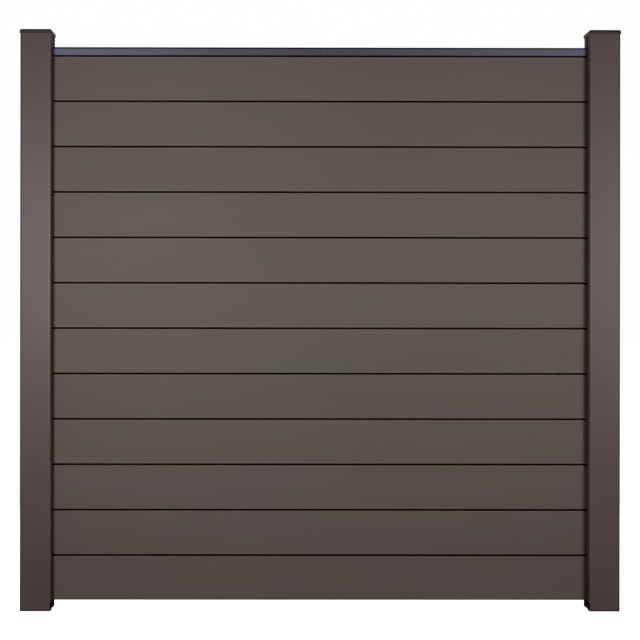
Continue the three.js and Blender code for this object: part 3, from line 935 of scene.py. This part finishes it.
def rounded_square(builder, centre_x, half, radius, z, wear=0.0, shade=0.0, steps=6):
    """A ring of points round a square with rounded corners."""
    ring = []
    for quarter in range(4):
        for step in range(steps + 1):
            angle = (quarter + step / steps) * math.pi / 2
            corner = (quarter + 0.5) * math.pi / 2
            u = (half - radius) * math.copysign(1, math.cos(corner)) + radius * math.cos(angle)
            v = (half - radius) * math.copysign(1, math.sin(corner)) + radius * math.sin(angle)
            ring.append(builder.point((centre_x + u, v, z), wear, shade))
    return ring


def cap_lug(centre_x, quarter, bottom, top):
    """One of the four angled lugs that grip the post's corner chambers."""
    outer = POST_HALF - POST_WALL - LUG_FIT
    inner = outer - LUG_LENGTH
    wall = outer - LUG_WALL
    angle = [
        Corner(inner, wall),
        Corner(wall, wall, 0.5 * MM),
        Corner(wall, inner),
        Corner(outer, inner),
        Corner(outer, outer, POST_CHAMBER_RADIUS),
        Corner(inner, outer),
    ]
    cos, sin = [(1, 0), (0, 1), (-1, 0), (0, -1)][quarter]

    def place(u, v, z):
        return centre_x + u * cos - v * sin, u * sin + v * cos, z

    stations = [Station(bottom, LUG_TAPER), Station(bottom + LUG_LEAD), Station(top)]
    return swept("lug", [outline(angle, 3)], stations, place)


def make_cap(side, way):
    centre_x = -way * POST_X
    skirt = CAP_LOW.z + LUG_DEPTH - CAP_SKIRT
    rim = CAP_HIGH.z - CAP_RIM_DROP
    ceiling = rim - CAP_LID
    half, corner = CAP_HALF, CAP_CORNER_RADIUS
    hollow, hollow_corner = half - CAP_WALL, corner - CAP_WALL
    fillet, lip = 0.6 * MM, 0.4 * MM  # under the lid, and of the skirt's foot
    bevel, soft = CAP_BEVEL, 0.5 * MM  # a bevelled rim whose two edges are softened
    ease = 0.3 * soft
    fade = 1.6 * MM  # of the painted dark line, down the side
    line = CAP_LINE_SHADE
    # painted shade: the dark line round the bevel, and the shade under the skirt's foot
    rings = [  # half width, corner radius, height, wear and shade
        (hollow - fillet, hollow_corner, ceiling),
        (hollow, hollow_corner, ceiling - fillet),
        (hollow, hollow_corner, skirt + lip, 0.0, 0.5),
        (hollow + lip, hollow_corner + lip, skirt, 0.0, 0.8),
        (half - lip, corner - lip, skirt, 0.0, 0.8),
        (half, corner, skirt + lip, 0.0, 0.5),
        (half, corner, skirt + CAP_SKIRT / 2),
        (half, corner, rim - bevel - 2 * fade),
        (half, corner, rim - bevel - fade, 0.0, 0.85),
        (half, corner, rim - bevel - soft, 0.0, line),
        (half - ease, corner - ease, rim - bevel, 0.0, line),
        (half - soft, corner - soft, rim - bevel + soft, 0.0, line),
        (half - bevel + soft, corner - bevel + soft, rim - soft, 0.0, line),
        (half - bevel, corner - bevel, rim - ease, 0.0, line),
        (half - bevel - soft, corner - bevel, rim, 0.0, 0.9),
    ]
    top_half = half - bevel - soft
    slope = CAP_RIM_DROP / top_half
    for reach in (0.94, 0.5, 0.1):
        run = top_half * reach
        rings.append((run, max(0.3 * MM, (corner - bevel) * reach), rim + slope * (top_half - run)))
    builder = Builder()
    made = [rounded_square(builder, centre_x, *ring) for ring in rings]
    builder.fill([made[0]])
    for low, high in zip(made, made[1:]):
        builder.band(low, high)
    builder.fan(made[-1], builder.point((centre_x, 0.0, CAP_HIGH.z)))
    piece = builder.finished(f"{side}_post_cap_body")
    lugs = [cap_lug(centre_x, quarter, CAP_LOW.z, ceiling + 2 * MM) for quarter in range(4)]
    carved(piece, lugs, "UNION")
    dressed(piece, f"{side}_post_cap", "cap_plastic", 28)


# ---- Small pieces ----------------------------------------------------


def make_spacer(side):
    """The block in a groove's foot, keyed into the lowest board's slot."""
    low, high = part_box(f"{side}_board_spacer")
    half, tip = high.y, high.z
    shoulder = BOARD_LOW.z - SEAT_GAP
    r = SPACER_EDGE_RADIUS
    section = [
        Corner(-half, low.z, r, 1.0),
        Corner(half, low.z, r, 1.0),
        Corner(half, shoulder, r, 1.0),
        Corner(TONGUE_HALF, shoulder),
        Corner(TONGUE_HALF, tip, TONGUE_TIP_RADIUS, 1.0),
        Corner(-TONGUE_HALF, tip, TONGUE_TIP_RADIUS, 1.0),
        Corner(-TONGUE_HALF, shoulder),
        Corner(-half, shoulder, r, 1.0),
    ]
    stations = sawn(low.x, high.x, 0.3 * MM, 1 * MM)
    piece = swept(f"{side}_board_spacer_body", [outline(section)], stations, along_x)
    dressed(piece, f"{side}_board_spacer", "spacer_plastic")


def make_bracket(side, way):
    """Bent strip: a leg up the groove floor and a foot over the rail's end."""
    low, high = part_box(f"{side}_rail_bracket")
    back, tip = (low.x, high.x) if way > 0 else (high.x, low.x)
    t, r = BRACKET_THICKNESS, BRACKET_EDGE_RADIUS
    run, rise = abs(tip - back), high.z - low.z
    section = [
        Corner(0, 0, BRACKET_BEND_OUTSIDE, 0.3),
        Corner(run, 0, r, 1.0),
        Corner(run, t, r, 1.0),
        Corner(t, t, BRACKET_BEND_INSIDE, 0.0),
        Corner(t, rise, r, 1.0),
        Corner(0, rise, r, 1.0),
    ]
    stations = sawn(low.y, high.y, 0.25 * MM, 1 * MM)
    loops = [outline(section)]
    name = f"{side}_rail_bracket_body"
    piece = swept(name, loops, stations, lambda u, v, y: (back + way * u, y, low.z + v))
    tools = [
        drill(POST_SCREW, centre_of(f"{side}_bracket_post_screw"), back + way * t / 2, "X"),
        drill(RAIL_SCREW, centre_of(f"{side}_bracket_rail_screw"), low.z + t / 2, "Z"),
    ]
    carved(piece, tools)
    dressed(piece, f"{side}_rail_bracket", "bracket_steel")


def thread_rings(builder, screw, top, place):
    """Rings of a threaded shank, from the tip of its point up to a height."""
    tip = builder.point(place(0.0, 0.0, -screw.length))
    rings = []
    steps = int((top + screw.length) / screw.pitch * THREAD_STEPS)
    for step in range(1, steps + 1):
        height = -screw.length + (top + screw.length) * step / steps
        taper = min(1.0, (height + screw.length) / screw.point)
        runout = min(1.0, (top - height) / screw.pitch)
        ring = []
        for i in range(SCREW_SIDES):
            turn = i / SCREW_SIDES
            phase = (height / screw.pitch - turn) % 1.0
            crest = max(0.0, 1 - abs(phase - 0.5) / THREAD_FLANK) * runout
            radius = taper * (screw.shank - THREAD_DEPTH * (1 - crest))
            angle = 2 * math.pi * turn
            spot = (radius * math.cos(angle), radius * math.sin(angle), height)
            ring.append(builder.point(place(*spot), crest, ROOT_SHADE * (1 - crest)))
        rings.append(ring)
    builder.fan(rings[0], tip)
    for low, high in zip(rings, rings[1:]):
        builder.band(low, high)
    return rings[-1]


def head_profile(screw):
    """(radius, height, wear) of a head from the shank out to its face."""
    ease = HEAD_EASE
    if screw.countersunk:
        lip_ease = 0.1 * MM
        return [
            (screw.shank, -screw.rise, 0.0),
            (screw.head - lip_ease, -SCREW_LIP, 0.0),
            (screw.head, -SCREW_LIP + lip_ease, 1.0),
            (screw.head, -ease, 1.0),
            (screw.head - ease, 0.0, 1.0),
            (screw.head * 0.8, 0.0, 0.0),
        ]
    flange = [
        (screw.shank + 0.2 * MM, 0.0, 0.0),
        (screw.head - ease, 0.0, 1.0),
        (screw.head, ease, 1.0),
        (screw.head, 2 * ease, 1.0),
    ]
    angles = [math.pi / 2 * i / DOME_STEPS for i in range(1, DOME_STEPS)]
    rise = screw.rise - 2 * ease
    return flange + [(screw.head * math.cos(a), 2 * ease + rise * math.sin(a), 0.0) for a in angles]


def cross_tool(face, place):
    """The driver's cross recess, tapered as the driver's tip is."""
    a, s = RECESS_ARM / 2, RECESS_SPAN / 2
    half = [(a, a), (a, s), (-a, s), (-a, a), (-s, a), (-s, -a)]
    # its points carry full painted shade, which the screw's recess takes
    cross = [Point(way * u, way * v, 0.0, 1.0) for way in (1, -1) for u, v in half]
    stations = [Station(face - RECESS_DEPTH, RECESS_TAPER), Station(face + RECESS_DEPTH, -RECESS_TAPER)]
    return swept("cross", [cross], stations, place)


def make_screw(node, screw, place):
    """A threaded screw whose seat, or whose face if it is countersunk, is at height 0."""
    builder = Builder()
    profile = head_profile(screw)
    shank_top = profile[0][1] - SCREW_NECK
    last = thread_rings(builder, screw, shank_top, place)
    for radius, height, wear in profile:
        ring = round_ring(builder, radius, height, wear, place)
        builder.band(last, ring)
        last = ring
    face = 0.0 if screw.countersunk else screw.rise
    builder.fan(last, builder.point(place(0.0, 0.0, face)))
    piece = builder.finished(f"{node}_body")
    carved(piece, [cross_tool(face, place)])
    dressed(piece, node, "screw_steel", 40)


def make_screws(side, way):
    groove_floor = way * (GROOVE_FLOOR - POST_X)
    for node in core_screws(side):
        centre = centre_of(node)
        face_x = groove_floor - way * HEAD_SINK
        make_screw(node, CORE_SCREW, lambda a, b, h: (face_x + way * h, centre.y + way * a, centre.z + b))
    node = f"{side}_bracket_post_screw"
    centre = centre_of(node)
    seat_x = groove_floor + way * (2 * SEAT_GAP + BRACKET_THICKNESS)
    make_screw(node, POST_SCREW, lambda a, b, h: (seat_x + way * h, centre.y + way * a, centre.z + b))
    node = f"{side}_bracket_rail_screw"
    spot = centre_of(node)
    seat_z = BRACKET_FOOT_Z + BRACKET_THICKNESS + SEAT_GAP
    make_screw(node, RAIL_SCREW, lambda a, b, h: (spot.x + a, spot.y + b, seat_z + h))


# ---- Stage -----------------------------------------------------------

PHOTO_SIDE = 640  # pixels
SENSOR = 36.0  # mm
FOCAL_PIXELS = 1571.5
PRINCIPAL_X, PRINCIPAL_Y = 287.3, 292.2  # pixels
CAMERA_PLACE = (-0.1272, -5.2069, 1.0474)
CAMERA_TURN = (math.pi / 2, -0.0012, -0.00366)

AMBIENT = 0.05  # strength of the world's light on the part
FLOOR_HALF = 30.0
FLOOR_DROP = 0.5 * MM  # of the floor below the posts' feet
FLOOR_BOUNCE = 0.05  # albedo that the part sees
FLOOR_SHADED = 0.8  # albedo that shows the shadow
FLOOR_GLOW = 0.88  # around the part, rising to white further out
GLOW_FROM, GLOW_TO = 1.5, 6.0  # metres from the middle


class Lamp(NamedTuple):
    """A soft rectangular lamp that the camera doesn't see."""

    name: str
    place: tuple
    target: tuple
    size: tuple
    watts: float
    spread: float = 180.0  # degrees


LAMPS = (
    Lamp("left_key", (-1.22, -2.6, 1.22), (-0.6, 0.0, 1.22), (0.6, 0.6), 19.2, 100.0),
    Lamp("right_key", (1.85, -2.6, 1.20), (0.9, 0.0, 1.20), (0.6, 0.6), 17.6, 100.0),
    Lamp("left_back", (-1.2, 2.4, 1.5), (-1.2, 0.0, 1.2), (1.2, 1.0), 34.0),
    Lamp("right_back", (1.2, 2.4, 1.5), (1.2, 0.0, 1.2), (1.2, 1.0), 34.0),
    Lamp("left_side", (-3.2, 0.2, 1.5), (-0.9, 0.0, 0.9), (1.4, 1.6), 20.0),
    Lamp("right_side", (3.2, 0.2, 1.5), (0.9, 0.0, 0.9), (1.4, 1.6), 20.0),
)


def make_camera():
    data = bpy.data.cameras.new("camera")
    data.sensor_width = SENSOR
    data.lens = FOCAL_PIXELS * SENSOR / PHOTO_SIDE
    data.shift_x = 0.5 - PRINCIPAL_X / PHOTO_SIDE
    data.shift_y = PRINCIPAL_Y / PHOTO_SIDE - 0.5
    camera = bpy.data.objects.new("camera", data)
    camera.location = CAMERA_PLACE
    camera.rotation_euler = CAMERA_TURN
    bpy.context.scene.collection.objects.link(camera)
    bpy.context.scene.camera = camera


def make_lamp(lamp):
    data = bpy.data.lights.new(lamp.name, "AREA")
    data.shape = "RECTANGLE"
    data.size, data.size_y = lamp.size
    data.energy = lamp.watts
    data.spread = math.radians(lamp.spread)
    light = bpy.data.objects.new(lamp.name, data)
    light.location = lamp.place
    beam = Vector(lamp.target) - Vector(lamp.place)
    light.rotation_euler = beam.to_track_quat("-Z", "Y").to_euler()
    light.visible_camera = False
    bpy.context.scene.collection.objects.link(light)


def grey(level):
    return (level, level, level, 1.0)


def bare_tree(owner):
    """The emptied node tree of a material or world."""
    owner.use_nodes = True
    owner.node_tree.nodes.clear()
    return Tree(owner.node_tree)


def sees_background(tree):
    """1 for the rays that show the pale background, and 0 for the rays that light things."""
    path = tree.add("ShaderNodeLightPath")
    total = path.outputs["Is Camera Ray"]
    for name in ("Is Glossy Ray", "Is Transmission Ray"):
        total = tree.math("MAXIMUM", total, path.outputs[name])
    return total


def make_world():
    world = bpy.data.worlds.new("studio")
    bpy.context.scene.world = world
    tree = bare_tree(world)
    lighting, shown = [tree.add("ShaderNodeBackground", grey(1.0), level) for level in (AMBIENT, 1.0)]
    choice = tree.add("ShaderNodeMixShader", sees_background(tree), lighting, shown)
    tree.add("ShaderNodeOutputWorld", choice)


def floor_material():
    """Pale floor that keeps the shadow, bounces little light and doesn't hide the part from below."""
    material = bpy.data.materials.new("floor")
    tree = bare_tree(material)
    place = tree.add("ShaderNodeTexCoord").outputs["Object"]
    length = tree.add("ShaderNodeVectorMath", place, operation="LENGTH").outputs["Value"]
    glow = tree.span(length, GLOW_FROM, GLOW_TO, FLOOR_GLOW, 1.0)
    emission = tree.add("ShaderNodeEmission", Strength=glow)
    shaded = tree.add("ShaderNodeBsdfDiffuse", grey(FLOOR_SHADED))
    dim = tree.add("ShaderNodeBsdfDiffuse", grey(FLOOR_BOUNCE))
    pale = tree.add("ShaderNodeAddShader", emission, shaded)
    above = tree.add("ShaderNodeMixShader", sees_background(tree), dim, pale)
    below = tree.add("ShaderNodeBsdfTransparent")
    backfacing = tree.add("ShaderNodeNewGeometry").outputs["Backfacing"]
    surface = tree.add("ShaderNodeMixShader", backfacing, above, below)
    tree.add("ShaderNodeOutputMaterial", surface)
    return material


def make_floor():
    mesh = bmesh.new()
    bmesh.ops.create_grid(mesh, x_segments=1, y_segments=1, size=FLOOR_HALF)
    data = bpy.data.meshes.new("floor")
    mesh.to_mesh(data)
    mesh.free()
    data.materials.append(floor_material())
    floor = bpy.data.objects.new("floor", data)
    floor.location.z = -FLOOR_DROP
    bpy.context.scene.collection.objects.link(floor)


def make_stage():
    make_camera()
    make_world()
    make_floor()
    for lamp in LAMPS:
        make_lamp(lamp)
    bpy.context.scene.view_settings.view_transform = "Standard"


# ---- The screen ------------------------------------------------------


def main():
    make_boards()
    make_rail()
    for side, way in SIDES.items():
        make_post(side, way)
        make_tube(side, way)
        make_cap(side, way)
        make_spacer(side)
        make_bracket(side, way)
        make_screws(side, way)
    make_stage()


main()
